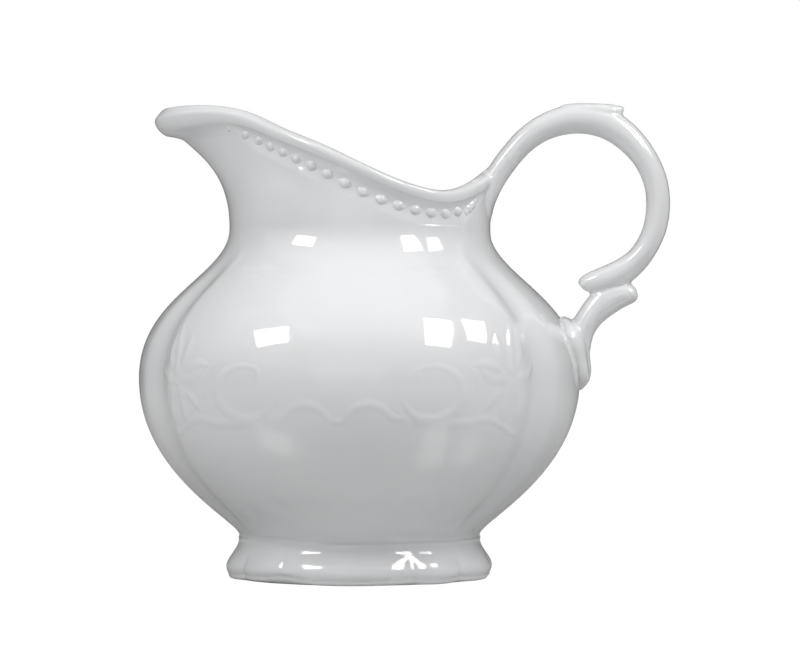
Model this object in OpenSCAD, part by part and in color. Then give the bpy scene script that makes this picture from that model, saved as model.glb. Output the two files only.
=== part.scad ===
// Porcelain cream jug with a raised spout, a beaded lip and a broken-scroll handle.
// Millimetres, +Z up. The handle is towards +X and the spout towards -X.
// The origin is the middle of the foot's resting plane.
// It is built from the castings and the pressed ornaments that a pottery sticks together with slip.

/* [Body] */

// Widest radius of the belly
belly_r = 48.95; // [40:0.05:60]
// Height of the widest part of the belly
belly_z = 44.2; // [36:0.1:54]
// Smallest radius of the neck
neck_r = 28.9; // [22:0.1:36]
// Height of the narrowest part of the neck
neck_z = 77.4; // [64:0.1:94]
// Thickness of the porcelain wall
wall_t = 3; // [2:0.1:4]
// Depth of the four upright flutes between the panels
flute_depth = 1.4; // [0:0.1:2]
// Angle of each flute from the middle of a side panel
flute_angle = 54; // [45:1:65]

/* [Lip and spout] */

// How much wider the round part of the mouth is than the neck, on the radius
mouth_flare = 0.4; // [0:0.1:4]
// Reach of the spout's tip past the round part of the mouth
spout_out = 15.2; // [8:0.1:22]
// Height of the spout's upper edge over the neck
spout_h = 26.5; // [18:0.1:36]
// Height of the lip over the neck at its lowest, beside the handle
lip_low_h = 7.2; // [5:0.1:14]
// Rise of the lip from its lowest place to the handle's root
lip_handle_h = 4.6; // [0:0.1:8]
// Width of the spout, as the spread in degrees where it swells from the mouth
spout_spread = 23; // [15:1:35]
// How far the rolled lip stands out from the wall
lip_roll = 1.1; // [0.4:0.1:2]

/* [Foot] */

// Height of the foot ring
foot_h = 9; // [6:0.1:14]
// Radius of the waist, where the foot meets the belly
waist_r = 26.9; // [20:0.1:34]
// Widest radius of the foot
foot_r = 29.75; // [24:0.05:38]
// Inner radius of the hollow under the foot
foot_bore_r = 23; // [16:0.1:28]
// Width of the flat edge that the jug rests on
rest_w = 4.4; // [2:0.1:6]

/* [Handle] */

// Reach of the handle past the belly
handle_out = 20.05; // [14:0.05:30]
// Height of the top of the handle's loop over the neck
handle_top_h = 27.4; // [20:0.1:36]
// Thickness of the loop, seen from the side
handle_t = 6; // [4:0.1:8]
// Breadth of the loop, seen from the back
handle_b = 7.2; // [5:0.1:10]

/* [Ornament] */

// Number of beads in each string
bead_count = 15; // [11:1:21]
// Diameter of a bead
bead_d = 2.7; // [2:0.1:3.4]
// Distance of the beads below the upper edge of the lip, by the handle and by the spout
bead_drop = 4.9; // [3.9:0.1:6]
// Height that the scrolls and sprigs stand out from the belly
relief_h = 0.8; // [0.5:0.1:1.5]
// Angle of each panel's two scrolls from its middle
scroll_angle = 24; // [18:1:32]
// Angle of each panel's two sprigs from its middle
sprig_angle = 47; // [42:1:54]

/* [Hidden] */

porcelain = [0.93, 0.93, 0.94];
biscuit = [0.86, 0.84, 0.80];

around_n = 72;        // points round the body
belly_steps = 13;     // rings in each half of the belly
neck_steps = 11;      // rings from the neck to the lip
floor_z = foot_h + wall_t;
mouth_r = neck_r + mouth_flare;
spout_reach = mouth_r + spout_out;
lip_low_z = neck_z + lip_low_h;
spout_z = neck_z + spout_h;
lip_over_wall = 2.2;  // height of the lip's edge over the end of the wall
lip_dip = 1.65;       // hollow of the lip's line between its low place and the spout
scroll_w = 6.8;       // half width of a panel's C-scroll
scroll_h = 5.6;       // half height of a panel's C-scroll
scroll_z = belly_z - 2.7;
sprig_z = belly_z + 0.3;

// ---------------------------------------------------------------- curves

function bezier(p, t) =
    p[0] * pow(1 - t, 3) + 3 * p[1] * t * pow(1 - t, 2) + 3 * p[2] * t * t * (1 - t) + p[3] * pow(t, 3);

function bezier_slope(p, t) =
    3 * (p[1] - p[0]) * pow(1 - t, 2) + 6 * (p[2] - p[1]) * t * (1 - t) + 3 * (p[3] - p[2]) * t * t;

function unit(v) = v / norm(v);

// Outward normal of a profile in (radius, height) that is drawn upwards.
function out_normal(slope) = unit([slope[1], -slope[0]]);

function bump(x, width) = exp(-pow(x / width, 2));

function smooth(x) = let (c = max(0, min(1, x))) c * c * (3 - 2 * c);

// Angle from the handle, 0 at the handle and 180 at the spout, the same on both sides.
function side_angle(a) = let (b = (a % 360 + 360) % 360) b > 180 ? 360 - b : b;

// ---------------------------------------------------------------- belly

lower_belly = [
    [waist_r, foot_h],
    [waist_r - 2.3, foot_h + 2.33],
    [belly_r, foot_h + (belly_z - foot_h) * 0.36],
    [belly_r, belly_z]
];
upper_belly = [
    [belly_r, belly_z],
    [belly_r, belly_z + (neck_z - belly_z) * 0.553],
    [neck_r, belly_z + (neck_z - belly_z) * 0.682],
    [neck_r, neck_z]
];
inner_belly = [
    [waist_r - 8, floor_z],
    [waist_r, floor_z],
    [belly_r - wall_t, floor_z + (belly_z - floor_z) * 0.466],
    [belly_r - wall_t, belly_z]
];

// Depth of the flutes: crisp on the side panel, fading at the shoulder and the waist.
function flute(a, z) =
    let (from_mid = abs(side_angle(a) - 90) - flute_angle)
    flute_depth * bump(from_mid, from_mid < 0 ? 3.5 : 7)
        * smooth((z - foot_h) / 9) * smooth((neck_z - 6 - z) / 14);

function belly_point(a, rz, lift = 0) =
    let (r = rz[0] - flute(a, rz[1]) + lift) [r * cos(a), r * sin(a), rz[1]];

// Radius of the belly at a height, found by halving along the curve.
function belly_t(curve, z, lo = 0, hi = 1, n = 18) =
    n == 0 ? (lo + hi) / 2
    : let (mid = (lo + hi) / 2)
      bezier(curve, mid)[1] < z ? belly_t(curve, z, mid, hi, n - 1) : belly_t(curve, z, lo, mid, n - 1);

function belly_curve(z) = z < belly_z ? lower_belly : upper_belly;

// Point at an angle and a height on the belly, lifted along the outward normal.
function on_belly(a, z, lift) =
    let (
        curve = belly_curve(z),
        t = belly_t(curve, z),
        rz = bezier(curve, t) - [flute(a, z), 0] + lift * out_normal(bezier_slope(curve, t))
    )
    [rz[0] * cos(a), rz[0] * sin(a), rz[1]];

// ---------------------------------------------------------------- neck, mouth and spout

function spout_swell(a) = bump(180 - side_angle(a), spout_spread);

function mouth_edge_r(a) =
    mouth_r + (spout_reach - lip_over_wall - mouth_r) * spout_swell(a) - 1.4 * bump(side_angle(a) - 128, 24);

// The lip dips beside the handle and sweeps up to the spout.
function lip_z(a) =
    let (
        s = side_angle(a),
        rise = smooth((s - 44) / 123),
        to_spout = lip_low_z + (spout_z - lip_low_z) * (0.59 * rise + 0.41 * sin(90 * rise)),
        to_handle = lip_handle_h * smooth((46 - s) / 46)
    )
    to_spout + to_handle - lip_dip * bump(s - 126, 23);

// Curve of the wall's outer face from the neck to just under the lip.
function mouth_curve(a) =
    let (
        k = spout_swell(a),
        lean = 12 + 33 * k,
        end = [mouth_edge_r(a), lip_z(a) - lip_over_wall - 2 * k],
        rise = end[1] - neck_z
    )
    [
        [neck_r, neck_z],
        [neck_r, neck_z + rise * (0.45 + 0.15 * k)],
        end - rise * 0.32 * [sin(lean), cos(lean)],
        end
    ];

// Rolled lip: offsets along the wall and across it, from the outside over the top to the inside.
function lip_section(a) =
    let (k = spout_swell(a), fat = 1 + 0.9 * k, roll = lip_roll * fat, t = wall_t)
    [
        [-0.9, 0.1], [-0.3, roll * 0.75], [0.6 * fat, roll], [1.5 * fat, roll * 0.7],
        [2.0 * fat, -0.3], [2.15 * fat, -t * 0.5], [1.9 * fat, -t * 0.85], [1.1 * fat, -t * 1.02]
    ];

function lip_point(a, uv) =
    let (
        curve = mouth_curve(a),
        along = unit(bezier_slope(curve, 1)),
        rz = curve[3] + uv[0] * along + uv[1] * out_normal(along)
    )
    [rz[0] * cos(a), rz[0] * sin(a), rz[1]];

function mouth_point(a, t, lift) =
    let (
        curve = mouth_curve(a),
        rz = bezier(curve, t) + lift * out_normal(bezier_slope(curve, t))
    )
    [rz[0] * cos(a), rz[0] * sin(a), rz[1]];

// Share of the mouth's curve at a distance below its end.
function share_below(a, d) = 1 - d / norm(bezier_slope(mouth_curve(a), 1));

// ---------------------------------------------------------------- solids from rings

around = [for (i = [0:around_n - 1]) i * 360 / around_n];

// Closes a stack of rings with a point at each end. Rings run outside upwards, then inside downwards.
module ring_shell(rings, first, last) {
    n = len(rings[0]);
    m = len(rings);
    points = concat([first], [for (ring = rings) each ring], [last]);
    bottom = [for (i = [0:n - 1]) [0, 1 + i, 1 + (i + 1) % n]];
    sides = [
        for (j = [0:m - 2], i = [0:n - 1])
            let (a = 1 + j * n + i, b = 1 + j * n + (i + 1) % n)
            each [[a, a + n, b], [b, a + n, b + n]]
    ];
    top = [for (i = [0:n - 1]) let (k = 1 + (m - 1) * n) [k + i, m * n + 1, k + (i + 1) % n]];
    polyhedron(points, concat(bottom, sides, top), convexity = 8);
}

// Curve through all its stations, with its ends at the first and the last.
function through(p, a, b, c, t) =
    0.5 * (2 * b + (c - a) * t + (2 * a - 5 * b + 4 * c - p) * t * t + (p - a + 3 * b - 3 * c) * pow(t, 3));

function station(s, i) = s[max(0, min(len(s) - 1, i))];

function smooth_stations(s, steps) = [
    for (i = [0:len(s) - 2], j = [0:steps - 1])
        through(station(s, i + 2), station(s, i - 1), s[i], s[i + 1], j / steps),
    s[len(s) - 1]
];

// Bar with an oval section between two edge lines, along stations of
// [outer x, outer z, inner x, inner z, half breadth].
module oval_bar(stations, steps = 3, sides = 16) {
    s = smooth_stations(stations, steps);
    rings = [
        for (q = s)
            [
                for (k = [0:sides - 1])
                    let (c = (1 + cos(k * 360 / sides)) / 2, w = -q[4] * sin(k * 360 / sides))
                    [q[2] + (q[0] - q[2]) * c, w, q[3] + (q[1] - q[3]) * c]
            ]
    ];
    ends = [for (q = [s[0], s[len(s) - 1]]) [(q[0] + q[2]) / 2, 0, (q[1] + q[3]) / 2]];
    ring_shell(rings, ends[0], ends[1]);
}

// Raised ribbon on the belly along stations of [angle, z, half width, height].
// It is sunk a little way into the wall.
module belly_ribbon(stations, steps = 3, sunk = 0.6) {
    s = smooth_stations(stations, steps);
    n = len(s);
    section = [[-1, -0.5], [-0.75, 0.55], [0, 1], [0.75, 0.55], [1, -0.5], [0, -0.6]];
    rings = [
        for (i = [0:n - 1])
            let (
                here = on_belly(s[i][0], s[i][1], 0),
                out = unit(on_belly(s[i][0], s[i][1], 1) - here),
                ahead = station(s, i + 1),
                behind = station(s, i - 1),
                run = on_belly(ahead[0], ahead[1], 0) - on_belly(behind[0], behind[1], 0),
                across = unit(cross(run, out))
            )
            [
                for (q = section)
                    here + across * q[0] * s[i][2] + out * q[1] * (q[1] > 0 ? s[i][3] : sunk)
            ]
    ];
    middle = [for (r = [rings[0], rings[n - 1]]) (r[0] + r[1] + r[2] + r[3] + r[4] + r[5]) / 6];
    ring_shell(rings, middle[0], middle[1]);
}

// ---------------------------------------------------------------- body and foot

module jug_body() {
    outer_low = [
        for (i = [0:belly_steps - 1])
            let (rz = bezier(lower_belly, i / belly_steps)) [for (a = around) belly_point(a, rz)]
    ];
    outer_high = [
        for (i = [0:belly_steps - 1])
            let (rz = bezier(upper_belly, i / belly_steps)) [for (a = around) belly_point(a, rz)]
    ];
    outer_mouth = [for (i = [0:neck_steps - 1]) [for (a = around) mouth_point(a, i / neck_steps, 0)]];
    lip = [for (k = [0:7]) [for (a = around) lip_point(a, lip_section(a)[k])]];
    inner_mouth = [
        for (i = [neck_steps - 1:-1:0]) [for (a = around) mouth_point(a, i / neck_steps, -wall_t)]
    ];
    inner_high = [
        for (i = [belly_steps - 1:-1:1])
            let (
                t = i / belly_steps,
                rz = bezier(upper_belly, t) - wall_t * out_normal(bezier_slope(upper_belly, t))
            )
            [for (a = around) [rz[0] * cos(a), rz[0] * sin(a), rz[1]]]
    ];
    inner_low = [
        for (i = [belly_steps:-1:0])
            let (rz = bezier(inner_belly, i / belly_steps))
            [for (a = around) [rz[0] * cos(a), rz[0] * sin(a), rz[1]]]
    ];
    rings = concat(outer_low, outer_high, outer_mouth, lip, inner_mouth, inner_high, inner_low);
    color(porcelain)
        ring_shell(rings, [0, 0, foot_h], [0, 0, floor_z]);
}

module foot_ring() {
    flank = [
        [foot_r - 0.5, foot_h * 0.1], [foot_r + 1.5, foot_h * 0.49],
        [waist_r - 0.6, foot_h * 0.62], [waist_r, foot_h]
    ];
    rest_out = foot_r - 1.2;
    color(biscuit)
        rotate_extrude($fn = 120)
            polygon(concat(
                [[rest_out - rest_w, 0], [rest_out, 0]],
                [for (i = [0:10]) bezier(flank, i / 10)],
                [[foot_bore_r - 1, foot_h], [foot_bore_r, foot_h * 0.2]]
            ));
}

// ---------------------------------------------------------------- handle

// The handle is drawn at the jug's first sizes. These carry each point of it with what it is tied to:
// across with the neck, the belly and the handle's reach, and up with the belly, the neck and its top.
function reach(x) = lookup(x, [
    [18.9, neck_r - 10], [28.9, neck_r], [48.95, belly_r], [69, belly_r + handle_out],
    [79, belly_r + handle_out + 10]
]);

function rise(z) = lookup(z, [
    [24.2, belly_z - 20], [44.2, belly_z], [77.4, neck_z], [104.8, neck_z + handle_top_h],
    [114.8, neck_z + handle_top_h + 10]
]);

// Station of the handle from its two edge points, thickened about the line between them.
function edges(xo, zo, xi, zi, b) =
    let (
        outer = [reach(xo), rise(zo)],
        inner = [reach(xi), rise(zi)],
        mid = (outer + inner) / 2,
        half = (outer - inner) / 2 * handle_t / 6
    )
    [mid[0] + half[0], mid[1] + half[1], mid[0] - half[0], mid[1] - half[1], b * handle_b / 7.2];

// The root spreads over the neck's wall, and the bar then runs up, over and back to a free tip.
loop_stations = [
    edges(27.4, 89.6, 27.4, 77.6, 6.6),
    edges(28.5, 90.8, 29.2, 79.3, 5.6),
    edges(30.0, 92.8, 30.5, 83.4, 4.7),
    edges(32.0, 95.4, 33.0, 88.3, 4.1),
    edges(35.6, 99.3, 37.8, 94.1, 3.7),
    edges(40.7, 102.8, 42.5, 97.1, 3.6),
    edges(47.3, 104.8, 47.8, 98.3, 3.6),
    edges(54.4, 104.1, 52.4, 97.7, 3.6),
    edges(59.9, 101.0, 56.6, 95.8, 3.6),
    edges(64.6, 96.0, 60.4, 92.0, 3.6),
    edges(67.9, 89.8, 62.7, 87.6, 3.6),
    edges(69.0, 83.6, 63.6, 82.8, 3.6),
    edges(68.4, 77.5, 62.8, 77.6, 3.6),
    edges(66.4, 72.5, 60.6, 73.4, 3.6),
    edges(63.2, 68.4, 57.4, 70.5, 3.6),
    edges(59.6, 65.2, 53.6, 68.8, 3.6),
    edges(55.6, 63.2, 50.8, 67.3, 3.3),
    edges(52.0, 62.6, 49.0, 66.0, 2.5),
    edges(50.4, 63.2, 48.7, 65.0, 1.2)
];

// The lower scroll curls under the loop's tip and runs down on to the belly.
lower_scroll_stations = [
    edges(61.7, 62.4, 61.3, 64.0, 1.2),
    edges(61.0, 61.2, 59.8, 65.2, 2.7),
    edges(58.8, 59.9, 56.4, 65.2, 3.1),
    edges(56.2, 58.5, 52.6, 63.6, 3.3),
    edges(53.7, 56.4, 49.9, 60.8, 3.4),
    edges(52.0, 54.0, 47.8, 57.6, 3.6),
    edges(51.0, 50.8, 45.4, 53.8, 3.4)
];

spur_stations = [
    edges(45.8, 104.9, 45.8, 103.7, 1.2),
    edges(48.6, 105.0, 48.8, 103.2, 2.6),
    edges(53.0, 105.0, 53.2, 102.8, 2.9),
    edges(56.6, 104.8, 56.9, 102.4, 2.3),
    edges(58.9, 103.9, 58.9, 102.9, 0.8)
];

module handle_loop() {
    color(porcelain) oval_bar(loop_stations);
}

module handle_lower_scroll() {
    color(porcelain) oval_bar(lower_scroll_stations);
}

// Leaf that spreads over the belly where the lower scroll lands. Rows are height, half width, thickness.
module handle_leaf() {
    rows = [
        [57.0, 1.6, 1.0], [54.6, 7.2, 2.6], [51.6, 7.6, 3.0], [48.2, 6.4, 2.5],
        [45.4, 5.4, 2.5], [43.6, 4.0, 2.3], [42.3, 2.3, 1.4], [41.2, 0.5, 0.4]
    ];
    color(porcelain)
        belly_ribbon([for (q = rows) [0, rise(q[0]), q[1] * handle_b / 7.2, q[2]]], 2, 1.5);
}

module thumb_spur() {
    color(porcelain) oval_bar(spur_stations);
}

// ---------------------------------------------------------------- beads

// Rings of one bead as [place along the string, radius], in shares of the bead's radius.
bead_rings = [[-0.93, 0.37], [-0.62, 0.785], [0, 1], [0.62, 0.785], [0.93, 0.37]];
bead_sides = 10;

bead_lift = -0.3;

// The string hangs a little lower in the middle than at its two ends.
function bead_share(a) = share_below(a, bead_drop + 1.3 * bump(side_angle(a) - 85, 24) - lip_over_wall);

// Beads lie under the lip from a bud by the handle's root, joined by the thin web of the press mould.
module bead_string(side) {
    bud = 24;
    first = 36;
    last = 145;
    r = bead_d / 2;
    angles = side * concat([bud], [for (i = [0:bead_count - 1]) first + (last - first) * i / (bead_count - 1)]);
    spots = [for (a = angles) mouth_point(a, bead_share(a), bead_lift)];
    rings = [
        for (i = [0:bead_count])
            let (
                a = angles[i],
                out = unit(mouth_point(a, bead_share(a), bead_lift + 1) - spots[i]),
                run = unit(station(spots, i + 1) - station(spots, i - 1)),
                across = unit(cross(run, out))
            )
            each [
                for (q = bead_rings)
                    [
                        for (k = [0:bead_sides - 1])
                            let (turn = k * 360 / bead_sides)
                            spots[i] + r * (q[0] * run + q[1] * (cos(turn) * out - sin(turn) * across))
                    ]
            ]
    ];
    ends = [for (ring = [rings[0], rings[len(rings) - 1]]) (ring[0] + ring[bead_sides / 2]) / 2];
    color(porcelain)
        ring_shell(rings, ends[0], ends[1]);
}

module bead_string_near() {
    bead_string(-1);
}

module bead_string_far() {
    bead_string(1);
}

// ---------------------------------------------------------------- scrolls and sprigs

// Side panels face -Y (near) and +Y (far). An angle along a panel counts from its middle to the handle.
function panel_angle(side, along) = side * (90 - along);

// Station on a panel: millimetres along the belly from a centre, turned into an angle.
function panel_at(side, mid, z, dx, dz, w, h) =
    [panel_angle(side, mid + dx * 180 / PI / belly_r), z + dz, w, h * relief_h];

// C-scroll with its mouth turned up and to +1 the handle or -1 the spout.
module c_scroll(side, mid, z, facing) {
    belly_ribbon([
        for (i = [0:8])
            let (t = 95 + i * 30, w = 0.45 + 0.55 * sin(i * 22.5))
            panel_at(side, mid, z, facing * scroll_w * cos(t), scroll_h * sin(t), w, 0.7 + 0.3 * sin(i * 22.5))
    ], 2);
}

// Line with two arches that joins the feet of the two scrolls.
module scroll_tie(side, z) {
    belly_ribbon([
        for (i = [-6:6])
            panel_at(side, i * scroll_angle / 6, z, 0, 1.8 - 1.8 * cos(i * 90), 0.8 - abs(i) * 0.05, 0.8)
    ], 2);
}

module panel_scrolls(side) {
    color(porcelain) {
        c_scroll(side, -scroll_angle, scroll_z, 1);
        c_scroll(side, scroll_angle, scroll_z, -1);
        scroll_tie(side, scroll_z - scroll_h + 0.3);
    }
}

module petal(side, mid, z, turn, length, width) {
    belly_ribbon([
        for (q = [[0.1, 0.35, 0.8], [0.45, 0.9, 1], [0.75, 1, 0.9], [1, 0.3, 0.4]])
            panel_at(side, mid, z, q[0] * length * cos(turn), q[0] * length * sin(turn),
                     q[1] * width, q[2])
    ], 2);
}

// Five-petalled flower with leaves above and below it, along the border of a panel.
module sprig(side, mid, z, lean) {
    color(porcelain) {
        for (i = [0:4]) petal(side, mid, z, 90 + i * 72, 4.4, 1.5);
        for (t = [lean + 62, lean + 118]) petal(side, mid, z, t, 9, 1.5);
        for (t = [lean - 60, lean - 120]) petal(side, mid, z, t, 9.5, 1.6);
    }
}

module panel_scrolls_near() {
    panel_scrolls(-1);
}

module panel_scrolls_far() {
    panel_scrolls(1);
}

module sprig_spout_near() {
    sprig(-1, -sprig_angle, sprig_z, 8);
}

module sprig_spout_far() {
    sprig(1, -sprig_angle, sprig_z, 8);
}

module sprig_handle_near() {
    sprig(-1, sprig_angle, sprig_z, -8);
}

module sprig_handle_far() {
    sprig(1, sprig_angle, sprig_z, -8);
}

jug_body();
foot_ring();
handle_loop();
handle_lower_scroll();
handle_leaf();
thumb_spur();
bead_string_near();
bead_string_far();
panel_scrolls_near();
panel_scrolls_far();
sprig_spout_near();
sprig_spout_far();
sprig_handle_near();
sprig_handle_far();
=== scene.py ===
import math

import bpy
import numpy as np
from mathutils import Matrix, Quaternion, Vector


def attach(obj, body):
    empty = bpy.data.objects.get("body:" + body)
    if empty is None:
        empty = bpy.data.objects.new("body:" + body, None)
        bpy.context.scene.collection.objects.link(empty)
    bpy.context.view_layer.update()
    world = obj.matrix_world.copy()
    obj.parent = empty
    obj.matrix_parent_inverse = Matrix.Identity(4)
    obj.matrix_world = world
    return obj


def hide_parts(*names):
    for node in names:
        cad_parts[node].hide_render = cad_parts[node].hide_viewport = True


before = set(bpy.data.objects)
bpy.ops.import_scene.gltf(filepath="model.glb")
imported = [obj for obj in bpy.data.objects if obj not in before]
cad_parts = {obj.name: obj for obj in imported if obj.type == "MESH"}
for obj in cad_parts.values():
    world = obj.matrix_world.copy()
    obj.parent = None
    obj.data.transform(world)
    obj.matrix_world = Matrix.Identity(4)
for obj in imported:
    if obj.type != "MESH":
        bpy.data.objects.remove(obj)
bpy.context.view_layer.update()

MM = 0.001

# ------------------------------------------------------------------ sizes of the jug, in mm

BELLY_R = 48.95
BELLY_Z = 44.2
NECK_R = 28.9
NECK_Z = 77.4
WAIST_R = 26.9
FOOT_H = 9.0
FOOT_R = 29.75
BORE_R = 23.0
REST_W = 4.4
REST_OUT = FOOT_R - 1.2   # outer radius of the flat resting edge
WALL = 3.0
FLOOR_Z = FOOT_H + WALL
MOUTH_R = 29.3
SPOUT_REACH = 44.5
SPOUT_Z = 103.9
LIP_LOW_Z = 84.6
LIP_DIP = 1.65           # hollow of the lip's line between its low place and the spout
LIP_HANDLE_RISE = 4.6
SPOUT_SPREAD = 23.0
LIP_OVER_WALL = 2.2
COLLAR = 20.0            # height of the straight collar that the mouth is pushed out of
LIP_SPAN = 1.75          # upper part of the collar that keeps its size in mm when it is pushed out
FLUTE_DEPTH = 1.2
PANEL_EDGE = 50.0        # half width in degrees of a side panel, where the flute begins
FLUTE_WALL = 7.5         # degrees from the panel's edge down to the flute's bottom
FLUTE_BOTTOM = 8.5       # degrees from the panel's edge to where the far side starts to rise
FLUTE_RISE = 9.0         # degrees that the far side takes to come up
TURNS = 288              # faces round the body

# ------------------------------------------------------------------ curves

LOWER_BELLY = np.array([(WAIST_R, FOOT_H), (WAIST_R - 2.3, FOOT_H + 2.33),
                        (BELLY_R, FOOT_H + (BELLY_Z - FOOT_H) * 0.36), (BELLY_R, BELLY_Z)])
UPPER_BELLY = np.array([(BELLY_R, BELLY_Z), (BELLY_R, BELLY_Z + (NECK_Z - BELLY_Z) * 0.553),
                        (NECK_R, BELLY_Z + (NECK_Z - BELLY_Z) * 0.682), (NECK_R, NECK_Z)])
INNER_BELLY = np.array([(WAIST_R - 8, FLOOR_Z), (WAIST_R, FLOOR_Z),
                        (BELLY_R - WALL, FLOOR_Z + (BELLY_Z - FLOOR_Z) * 0.466),
                        (BELLY_R - WALL, BELLY_Z)])


def bezier(p, t):
    t = np.asarray(t, dtype=float)[..., None]
    return (p[..., 0, :] * (1 - t) ** 3 + 3 * p[..., 1, :] * t * (1 - t) ** 2
            + 3 * p[..., 2, :] * t * t * (1 - t) + p[..., 3, :] * t ** 3)


def bezier_slope(p, t):
    t = np.asarray(t, dtype=float)[..., None]
    return (3 * (p[..., 1, :] - p[..., 0, :]) * (1 - t) ** 2
            + 6 * (p[..., 2, :] - p[..., 1, :]) * t * (1 - t)
            + 3 * (p[..., 3, :] - p[..., 2, :]) * t * t)


def unit(v):
    return v / np.linalg.norm(v, axis=-1, keepdims=True)


def out_normal(slope):
    return unit(np.stack([slope[..., 1], -slope[..., 0]], axis=-1))


def bump(x, width):
    return np.exp(-(np.asarray(x) / width) ** 2)


def smooth(x):
    c = np.clip(x, 0, 1)
    return c * c * (3 - 2 * c)


def side_angle(a):
    """Degrees from the handle, 0 at the handle and 180 at the spout, alike on both sides."""
    b = np.mod(a, 360)
    return np.where(b > 180, 360 - b, b)


def through(points, steps):
    """A smooth line through all the given rows, with a few steps between each two."""
    p = np.array(points, dtype=float)
    p = np.vstack([p[:1], p, p[-1:]])
    rows = []
    for i in range(1, len(p) - 2):
        for j in range(steps):
            t = j / steps
            rows.append(0.5 * (2 * p[i] + (p[i + 1] - p[i - 1]) * t
                               + (2 * p[i - 1] - 5 * p[i] + 4 * p[i + 1] - p[i + 2]) * t * t
                               + (p[i + 2] - p[i - 1] + 3 * p[i] - 3 * p[i + 1]) * t ** 3))
    rows.append(p[-2])
    return np.array(rows)


# ------------------------------------------------------------------ the jug's surface

def flute(a, z):
    """Depth of the upright flutes beside the side panels, which run out at the neck and the waist."""
    past = np.abs(side_angle(a) - 90) - PANEL_EDGE
    across = smooth(past / FLUTE_WALL) * (1 - smooth((past - FLUTE_BOTTOM) / FLUTE_RISE))
    along = smooth((z - FOOT_H) / 7) * smooth((NECK_Z - 3 - z) / 14)
    shallower_low = 0.7 + 0.3 * smooth((z - 16) / 20)
    return FLUTE_DEPTH * shallower_low * across * along


def panel_step(a, z):
    """The little step under each panel's scalloped lower border, and over its upper one."""
    across = side_angle(a) - 90
    inside = smooth((PANEL_EDGE - np.abs(across)) / 3)
    wave = 0.8 * np.cos(np.radians(across) * 28)
    low = 19.7 + wave - 3.6 * smooth((np.abs(across) - 22) / 26)
    high = 67.2 - 0.5 * wave
    under = smooth((low - z) / 3.2) * smooth((z - 11) / 5)
    over = smooth((z - high) / 1.8) * smooth((74.5 - z) / 5)
    return inside * (0.5 * under + 0.25 * over)


def spout_swell(a):
    return bump(180 - side_angle(a), SPOUT_SPREAD)


def lip_z(a):
    s = side_angle(a)
    rise = smooth((s - 44) / 123)
    to_spout = LIP_LOW_Z + (SPOUT_Z - LIP_LOW_Z) * (0.59 * rise + 0.41 * np.sin(np.pi / 2 * rise))
    return to_spout + LIP_HANDLE_RISE * smooth((46 - s) / 46) - LIP_DIP * bump(s - 126, 23)


def mouth_curve(a):
    """Profile of the wall's outer face from the neck to just under the lip, at each angle."""
    k = spout_swell(a)
    lean = np.radians(12 + 33 * k)
    edge_r = (MOUTH_R + (SPOUT_REACH - LIP_OVER_WALL - MOUTH_R) * k
              - 1.4 * bump(side_angle(a) - 128, 24))
    edge_z = lip_z(a) - LIP_OVER_WALL - 2.0 * k
    rise = edge_z - NECK_Z
    start = np.stack([np.full_like(edge_r, NECK_R), np.full_like(edge_r, NECK_Z)], -1)
    first = np.stack([np.full_like(edge_r, NECK_R), NECK_Z + rise * (0.45 + 0.15 * k)], -1)
    end = np.stack([edge_r, edge_z], -1)
    last = end - (rise * 0.32)[..., None] * np.stack([np.sin(lean), np.cos(lean)], -1)
    return np.stack([start, first, last, end], -2)


def turned(a, rz):
    rad = np.radians(a)
    return np.stack([rz[..., 0] * np.cos(rad), rz[..., 0] * np.sin(rad), rz[..., 1]], -1)


def mouth_point(a, t, lift):
    curve = mouth_curve(a)
    return turned(a, bezier(curve, t) + np.asarray(lift)[..., None] * out_normal(bezier_slope(curve, t)))


def below_lip(a, d):
    """Share of the mouth's curve at a distance in mm below the lip's upper edge."""
    return 1 - (d - LIP_OVER_WALL) / np.linalg.norm(bezier_slope(mouth_curve(a), np.ones_like(a)), axis=-1)


TABLE_T = np.linspace(0, 1, 801)
LOWER_TABLE = bezier(LOWER_BELLY, TABLE_T)
UPPER_TABLE = bezier(UPPER_BELLY, TABLE_T)
BELLY_TABLE = np.vstack([LOWER_TABLE[:-1], UPPER_TABLE])
BELLY_NORMALS = np.vstack([out_normal(bezier_slope(LOWER_BELLY, TABLE_T))[:-1],
                           out_normal(bezier_slope(UPPER_BELLY, TABLE_T))])
BELLY_ORDER = slice(60, None)      # past the little undercut at the waist the height only grows


def on_belly(a, z, lift):
    """Point on the belly at an angle and a height, lifted along the wall's normal."""
    zs = BELLY_TABLE[BELLY_ORDER, 1]
    r = np.interp(z, zs, BELLY_TABLE[BELLY_ORDER, 0])
    n = np.stack([np.interp(z, zs, BELLY_NORMALS[BELLY_ORDER, i]) for i in (0, 1)], -1)
    rz = np.stack([r - flute(a, z), z], -1) + np.asarray(lift)[..., None] * n
    return turned(a, rz)


# ------------------------------------------------------------------ working by hand

def deselect():
    if bpy.context.object and bpy.context.object.mode != "OBJECT":
        bpy.ops.object.mode_set(mode="OBJECT")
    bpy.ops.object.select_all(action="DESELECT")


def only(obj):
    deselect()
    obj.select_set(True)
    bpy.context.view_layer.objects.active = obj


def turn_faces_out(obj):
    only(obj)
    bpy.ops.object.mode_set(mode="EDIT")
    bpy.ops.mesh.select_all(action="SELECT")
    bpy.ops.mesh.normals_make_consistent(inside=False)
    bpy.ops.object.mode_set(mode="OBJECT")


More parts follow.
